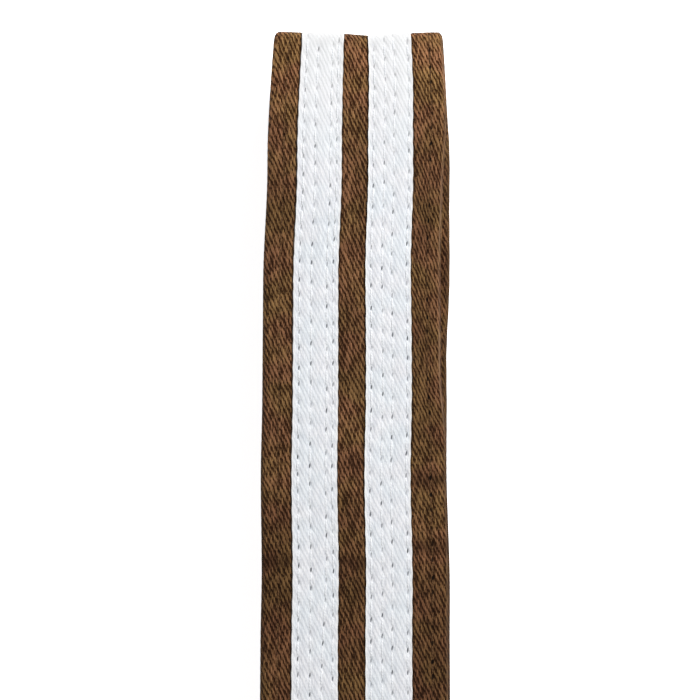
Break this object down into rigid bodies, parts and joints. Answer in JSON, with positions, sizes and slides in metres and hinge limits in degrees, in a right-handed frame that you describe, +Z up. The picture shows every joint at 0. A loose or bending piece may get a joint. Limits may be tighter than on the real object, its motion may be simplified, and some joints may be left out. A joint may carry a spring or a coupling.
{
  "type": "martial arts belt",
  "caption": "Long flat cotton belt with two raised stripes along it, stitched lengthwise in rows and folded back and forth into a flat hank.",
  "frame": {"origin": "centre of the bottom of the folded hank, on the surface it lies on", "axes": "+Z up, +Y along the hank towards the end where the top leaf folds over, +X across the belt, to the right when seen from above with +Y away"},
  "size_m": [0.04, 0.356, 0.0338],
  "materials": {
    "cover_cloth": "matt brown cotton twill",
    "core_cloth": "undyed cotton canvas",
    "tape_cloth": "white cotton twill",
    "thread": "white sewing thread, brown in the rows along the edges and across the tips"
  },
  "bodies": {
    "leaf_1": {"cover_leaf_1": "cover_cloth", "core_leaf_1": "core_cloth", "tapes_leaf_1": "tape_cloth", "stitching_leaf_1": "thread", "cover_fold_1": "cover_cloth", "core_fold_1": "core_cloth", "tapes_fold_1": "tape_cloth", "stitching_fold_1": "thread"},
    "leaf_2": {"cover_leaf_2": "cover_cloth", "core_leaf_2": "core_cloth", "tapes_leaf_2": "tape_cloth", "stitching_leaf_2": "thread", "cover_fold_2": "cover_cloth", "core_fold_2": "core_cloth", "tapes_fold_2": "tape_cloth", "stitching_fold_2": "thread"},
    "leaf_3": {"cover_leaf_3": "cover_cloth", "core_leaf_3": "core_cloth", "tapes_leaf_3": "tape_cloth", "stitching_leaf_3": "thread", "cover_fold_3": "cover_cloth", "core_fold_3": "core_cloth", "tapes_fold_3": "tape_cloth", "stitching_fold_3": "thread"},
    "leaf_4": {"cover_leaf_4": "cover_cloth", "core_leaf_4": "core_cloth", "tapes_leaf_4": "tape_cloth", "stitching_leaf_4": "thread", "cover_fold_4": "cover_cloth", "core_fold_4": "core_cloth", "tapes_fold_4": "tape_cloth", "stitching_fold_4": "thread"},
    "leaf_5": {"cover_leaf_5": "cover_cloth", "core_leaf_5": "core_cloth", "tapes_leaf_5": "tape_cloth", "stitching_leaf_5": "thread", "cover_fold_5": "cover_cloth", "core_fold_5": "core_cloth", "tapes_fold_5": "tape_cloth", "stitching_fold_5": "thread"},
    "leaf_6": {"cover_leaf_6": "cover_cloth", "core_leaf_6": "core_cloth", "tapes_leaf_6": "tape_cloth", "stitching_leaf_6": "thread", "cover_fold_6": "cover_cloth", "core_fold_6": "core_cloth", "tapes_fold_6": "tape_cloth", "stitching_fold_6": "thread"},
    "leaf_7": {"cover_leaf_7": "cover_cloth", "core_leaf_7": "core_cloth", "tapes_leaf_7": "tape_cloth", "stitching_leaf_7": "thread", "cover_fold_7": "cover_cloth", "core_fold_7": "core_cloth", "tapes_fold_7": "tape_cloth", "stitching_fold_7": "thread"},
    "leaf_8": {"cover_leaf_8": "cover_cloth", "core_leaf_8": "core_cloth", "tapes_leaf_8": "tape_cloth", "stitching_leaf_8": "thread"}
  },
  "joints": [
    {"name": "fold_1", "type": "hinge", "parent": "leaf_1", "child": "leaf_2", "pos_m": [0, 0.1726, 0.004], "axis": [-1, 0, 0], "range_deg": [0, 179], "deforming": ["cover_fold_1", "core_fold_1", "tapes_fold_1", "stitching_fold_1"]},
    {"name": "fold_2", "type": "hinge", "parent": "leaf_2", "child": "leaf_3", "pos_m": [0, -0.1722, 0.0083], "axis": [1, 0, 0], "range_deg": [0, 179], "deforming": ["cover_fold_2", "core_fold_2", "tapes_fold_2", "stitching_fold_2"]},
    {"name": "fold_3", "type": "hinge", "parent": "leaf_3", "child": "leaf_4", "pos_m": [0, 0.1734, 0.0126], "axis": [-1, 0, 0], "range_deg": [0, 179], "deforming": ["cover_fold_3", "core_fold_3", "tapes_fold_3", "stitching_fold_3"]},
    {"name": "fold_4", "type": "hinge", "parent": "leaf_4", "child": "leaf_5", "pos_m": [0, -0.1731, 0.0169], "axis": [1, 0, 0], "range_deg": [0, 179], "deforming": ["cover_fold_4", "core_fold_4", "tapes_fold_4", "stitching_fold_4"]},
    {"name": "fold_5", "type": "hinge", "parent": "leaf_5", "child": "leaf_6", "pos_m": [0, 0.1721, 0.0212], "axis": [-1, 0, 0], "range_deg": [0, 179], "deforming": ["cover_fold_5", "core_fold_5", "tapes_fold_5", "stitching_fold_5"]},
    {"name": "fold_6", "type": "hinge", "parent": "leaf_6", "child": "leaf_7", "pos_m": [0, -0.174, 0.0255], "axis": [1, 0, 0], "range_deg": [0, 179], "deforming": ["cover_fold_6", "core_fold_6", "tapes_fold_6", "stitching_fold_6"]},
    {"name": "fold_7", "type": "hinge", "parent": "leaf_7", "child": "leaf_8", "pos_m": [0, 0.174, 0.0298], "axis": [-1, 0, 0], "range_deg": [0, 179], "deforming": ["cover_fold_7", "core_fold_7", "tapes_fold_7", "stitching_fold_7"]}
  ],
  "couplings": [
    {"joint": "fold_2", "follows": "fold_1", "ratio": 1},
    {"joint": "fold_3", "follows": "fold_1", "ratio": 1},
    {"joint": "fold_4", "follows": "fold_1", "ratio": 1},
    {"joint": "fold_5", "follows": "fold_1", "ratio": 1},
    {"joint": "fold_6", "follows": "fold_1", "ratio": 1}
  ]
}
